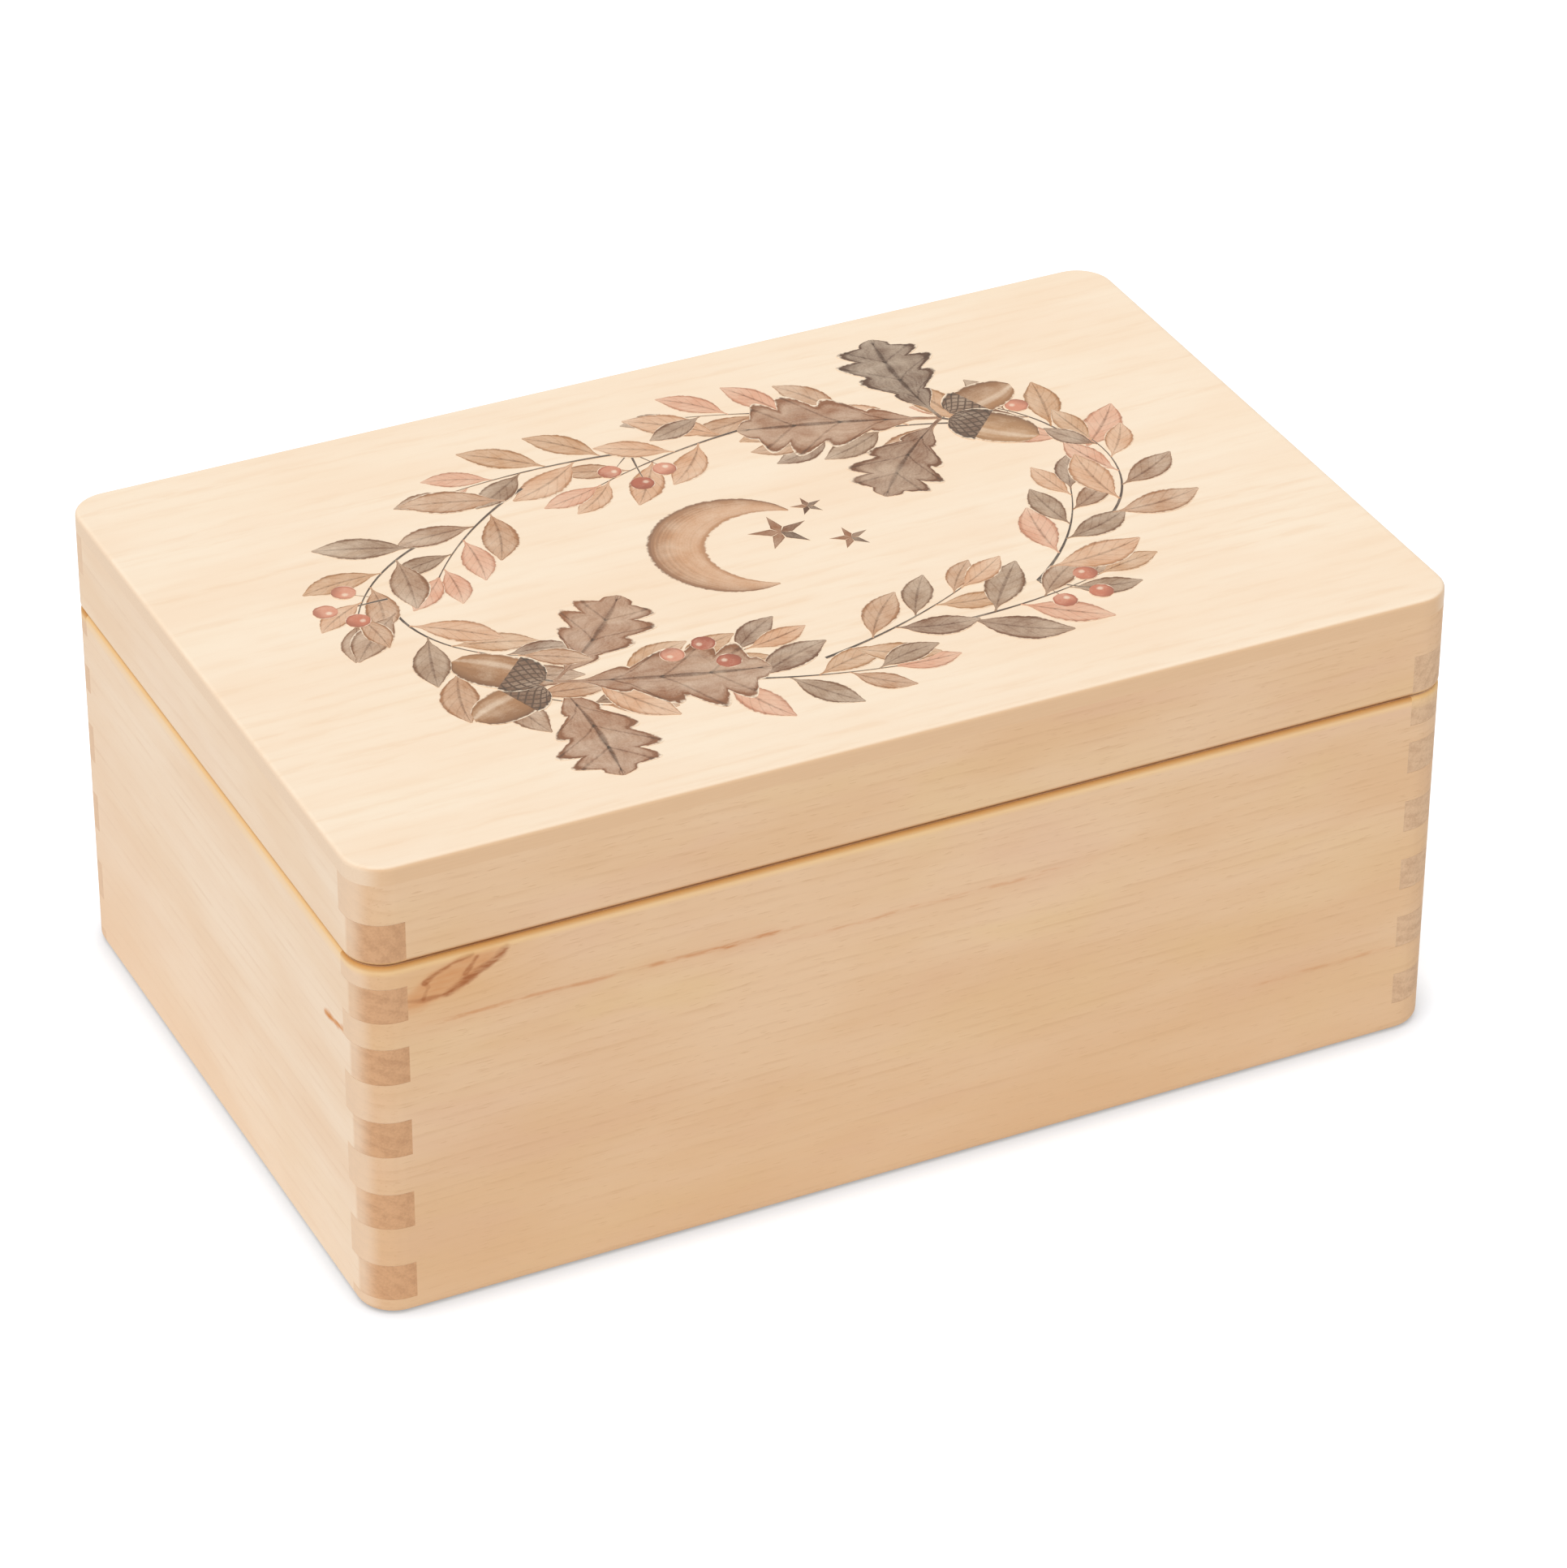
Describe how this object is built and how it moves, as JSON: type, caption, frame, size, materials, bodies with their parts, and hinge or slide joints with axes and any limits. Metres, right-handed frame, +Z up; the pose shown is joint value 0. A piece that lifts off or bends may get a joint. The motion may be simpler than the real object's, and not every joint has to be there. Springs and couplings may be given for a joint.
{
  "type": "keepsake box",
  "caption": "Rectangular wooden keepsake box with finger-jointed, rounded corners and a full-size lid hinged along the back.",
  "frame": {"origin": "on the ground under the middle of the box", "axes": "+X to the right seen from the front, -Y to the front, +Z up"},
  "size_m": [0.3, 0.194, 0.131],
  "materials": {
    "board_wood": "sanded, bare pine, grain along the width",
    "side_wood": "sanded, bare pine, grain along the depth",
    "lid_panel_wood": "sanded, pale, with a matt print on top",
    "bottom_plywood": "bare thin plywood",
    "hinge_brass": "satin, lightly brushed",
    "screw_brass": "satin"
  },
  "bodies": {
    "base": {"base_front_board": "board_wood", "base_back_board": "board_wood", "base_left_board": "side_wood", "base_right_board": "side_wood", "base_bottom_panel": "bottom_plywood", "left_hinge_base_leaf": "hinge_brass", "left_hinge_pin": "hinge_brass", "right_hinge_base_leaf": "hinge_brass", "right_hinge_pin": "hinge_brass", "base_hinge_screws": "screw_brass"},
    "lid": {"lid_front_rail": "board_wood", "lid_back_rail": "board_wood", "lid_left_rail": "side_wood", "lid_right_rail": "side_wood", "lid_top_panel": "lid_panel_wood", "left_hinge_lid_leaf": "hinge_brass", "right_hinge_lid_leaf": "hinge_brass", "lid_hinge_screws": "screw_brass"}
  },
  "joints": [
    {"name": "lid_hinge", "type": "hinge", "parent": "base", "child": "lid", "pos_m": [0, 0.0944, 0.1031], "axis": [-1, 0, 0], "range_deg": [0, 100]}
  ]
}
